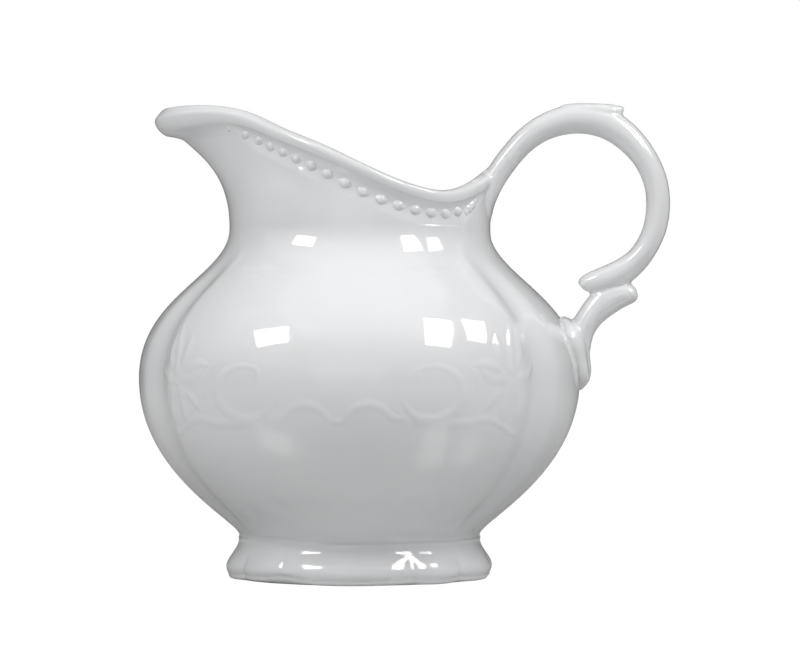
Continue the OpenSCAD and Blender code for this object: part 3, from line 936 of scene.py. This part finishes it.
def panel_strokes():
    """The C-scrolls that face each other, the line that ties them, and the panel's borders."""
    strokes = []
    for way in (-1, 1):
        cs = mm_at(SCROLL_ANGLE)
        half = [arc(cs, SCROLL_Z, 6.8, 5.6, 100, -160, 1.35, 0.75, 15),
                # a thin second arc outside the scroll
                arc(cs + 1.0, SCROLL_Z + 0.4, 9.6, 8.0, 58, -20, 0.8, 0.42, 9),
                # small curl at the scroll's upper end
                arc(cs - 1.8, SCROLL_Z + 3.9, 1.5, 1.4, 60, 250, 0.8, 0.5, 7),
                # two arches between the scrolls, one on each side of the middle
                [(0.0, 35.6, 0.9, 0.45), (1.6, 36.0, 1.0, 0.5), (3.6, 38.2, 1.1, 0.55),
                 (6.7, 39.2, 1.2, 0.6), (9.6, 38.4, 1.1, 0.55), (12.0, 36.4, 1.0, 0.5), (14.5, 36.2, 1.0, 0.5)],
                # lower border of the band, out to the panel's corner
                [(17.5, 35.6, 1.1, 0.55), (23.5, 35.0, 1.2, 0.6), (29.0, 35.2, 1.2, 0.6),
                 (34.0, 35.9, 1.1, 0.55), (38.0, 34.9, 1.0, 0.55), (41.5, 33.0, 0.9, 0.5),
                 (44.0, 32.6, 0.8, 0.4)]]
        for stroke in half:
            strokes.append([(way * s, z, w, h) for s, z, w, h in stroke])
        # scalloped upper border on the shoulder
        for k in range(3):
            strokes.append(arc(way * (5.6 + 11.2 * k), 63.8, 5.4, 2.2, 20, 160, 0.8, 0.34, 7))
    return strokes


def sprig_strokes(way):
    """A flower, its buds and the leaves that run up and down from it."""
    cs = mm_at(SPRIG_ANGLE)
    cz = 43.6
    strokes = []
    for i in range(5):
        turn = 90 + i * 72
        c, d = math.cos(math.radians(turn)), math.sin(math.radians(turn))
        strokes.append(leaf_stroke(cs + 0.9 * c, cz + 0.9 * d, turn, 3.3, 1.35, 0.8))
    strokes.append([(cs - 0.3, cz, 0.8, 0.85), (cs + 0.3, cz, 0.8, 0.85)])
    for turn, length, width, bend in ((58, 8.6, 1.5, 24), (118, 8.0, 1.5, -20), (88, 10.5, 1.3, -14),
                                      (-62, 7.0, 1.4, -22), (-112, 6.6, 1.4, 20), (140, 8.4, 1.3, 30),
                                      (12, 6.2, 1.3, 26), (176, 6.0, 1.3, -24), (-150, 6.4, 1.2, 16)):
        foot_s = cs + 3.2 * math.cos(math.radians(turn))
        foot_z = cz + 3.2 * math.sin(math.radians(turn))
        strokes.append(leaf_stroke(foot_s, foot_z, turn, length, width, 0.68, bend))
        # the vein, a fine line along the leaf's middle
        strokes.append(leaf_stroke(foot_s, foot_z, turn, length * 0.9, 0.32, 0.3, bend))
    return [[(way * s, z, w, h) for s, z, w, h in stroke] for stroke in strokes]


for side, word in ((-1, "near"), (1, "far")):
    relief("panel_scrollwork_" + word, "panel_scrolls_" + word, side, (-47, 47), (29, 68), panel_strokes())
    relief("spout_flower_" + word, "sprig_spout_" + word, side, (-56, -25), (29, 62), sprig_strokes(-1))
    relief("handle_flower_" + word, "sprig_handle_" + word, side, (25, 56), (29, 62), sprig_strokes(1))


# ------------------------------------------------------------------ floor, light and camera

def make_floor():
    deselect()
    bpy.ops.mesh.primitive_plane_add(size=12, location=(0, 0, 0))
    floor = settle(bpy.context.object, "studio_floor")
    material = bpy.data.materials.new("studio_white")
    material.use_nodes = True
    nodes, links = material.node_tree.nodes, material.node_tree.links
    nodes.clear()
    diffuse = nodes.new("ShaderNodeBsdfDiffuse")
    diffuse.inputs["Color"].default_value = (0.53, 0.53, 0.53, 1)
    polish = nodes.new("ShaderNodeBsdfGlossy")
    polish.inputs["Color"].default_value = (1, 1, 1, 1)
    polish.inputs["Roughness"].default_value = 0.14
    top = nodes.new("ShaderNodeMixShader")
    top.inputs["Fac"].default_value = 0.11
    glow = nodes.new("ShaderNodeEmission")
    glow.inputs["Color"].default_value = (1, 1, 1, 1)
    glow.inputs["Strength"].default_value = 1.12
    path = nodes.new("ShaderNodeLightPath")
    share = nodes.new("ShaderNodeMath")
    share.operation = "MULTIPLY"
    share.inputs[1].default_value = 0.9
    mix = nodes.new("ShaderNodeMixShader")
    result = nodes.new("ShaderNodeOutputMaterial")
    links.new(diffuse.outputs[0], top.inputs[1])
    links.new(polish.outputs[0], top.inputs[2])
    links.new(path.outputs["Is Camera Ray"], share.inputs[0])
    links.new(share.outputs[0], mix.inputs["Fac"])
    links.new(top.outputs[0], mix.inputs[1])
    links.new(glow.outputs[0], mix.inputs[2])
    links.new(mix.outputs[0], result.inputs["Surface"])
    floor.data.materials.append(material)


def make_room():
    world = bpy.data.worlds.new("studio_room")
    bpy.context.scene.world = world
    world.use_nodes = True
    nodes, links = world.node_tree.nodes, world.node_tree.links
    nodes.clear()
    path = nodes.new("ShaderNodeLightPath")
    seen = nodes.new("ShaderNodeBackground")
    seen.inputs["Color"].default_value = (1, 1, 1, 1)
    seen.inputs["Strength"].default_value = 1.0
    room = nodes.new("ShaderNodeBackground")
    room.inputs["Color"].default_value = (0.98, 0.99, 1.0, 1)
    # the far side of the room is left dark, which draws the jug's outline
    place = nodes.new("ShaderNodeTexCoord")
    parts = nodes.new("ShaderNodeSeparateXYZ")
    fall = nodes.new("ShaderNodeMapRange")
    for key, number in (("From Min", -0.3), ("From Max", 0.5), ("To Min", 0.31), ("To Max", 0.12)):
        fall.inputs[key].default_value = number
    links.new(place.outputs["Generated"], parts.inputs[0])
    links.new(parts.outputs["Y"], fall.inputs["Value"])
    links.new(fall.outputs[0], room.inputs["Strength"])
    mix = nodes.new("ShaderNodeMixShader")
    result = nodes.new("ShaderNodeOutputWorld")
    links.new(path.outputs["Is Camera Ray"], mix.inputs["Fac"])
    links.new(room.outputs[0], mix.inputs[1])
    links.new(seen.outputs[0], mix.inputs[2])
    links.new(mix.outputs[0], result.inputs["Surface"])


AIM = Vector((0.0, 0.0, 0.05))


def softbox(name, way, distance, width, height, power, roll=0.0):
    light = bpy.data.lights.new(name, "AREA")
    light.shape = "RECTANGLE"
    light.size = width
    light.size_y = height
    light.energy = power
    lamp = bpy.data.objects.new(name, light)
    bpy.context.collection.objects.link(lamp)
    place = AIM + Vector(way).normalized() * distance
    lamp.location = place
    facing = (AIM - place).to_track_quat("-Z", "Y") @ Quaternion((0, 0, 1), math.radians(roll))
    lamp.rotation_euler = facing.to_euler()


make_floor()
make_room()
softbox("overhead", (0.05, -0.25, 1.0), 1.0, 1.1, 1.1, 1.9)
softbox("left_top", (-0.75, -0.4, 0.7), 1.1, 1.0, 1.0, 1.3)
softbox("left_box", (-0.57, -0.48, 0.66), 0.8, 0.22, 0.25, 1.7, 32)
softbox("right_box", (0.61, -0.37, 0.74), 0.8, 0.17, 0.42, 2.2, -30)
softbox("right_strip", (0.78, -0.08, 0.70), 0.8, 0.15, 0.30, 1.0, -38)
softbox("left_fill", (-1.0, -0.1, 0.15), 1.0, 0.5, 0.5, 0.06)
softbox("front_fill", (0.0, -1.0, 0.08), 1.1, 0.7, 0.6, 0.6)
softbox("front_left_fill", (-0.4, -0.9, 0.1), 1.1, 0.8, 0.8, 0.5)

camera_data = bpy.data.cameras.new("camera")
camera_data.lens = 145
camera_data.sensor_width = 36
camera_data.clip_start = 0.01
camera = bpy.data.objects.new("camera", camera_data)
bpy.context.collection.objects.link(camera)
TURN = math.radians(5)       # the camera stands a little to the handle's side
LOOK_OUT, LOOK_Z = 9.0, 53.8
CAMERA_AWAY = 0.717
look_at = Vector((LOOK_OUT * math.cos(TURN) * MM, LOOK_OUT * math.sin(TURN) * MM, LOOK_Z * MM))
camera.location = look_at + Vector((math.sin(TURN), -math.cos(TURN), 0)) * CAMERA_AWAY
camera.rotation_euler = (look_at - camera.location).to_track_quat("-Z", "Y").to_euler()
bpy.context.scene.camera = camera
bpy.context.scene.view_settings.view_transform = "Standard"
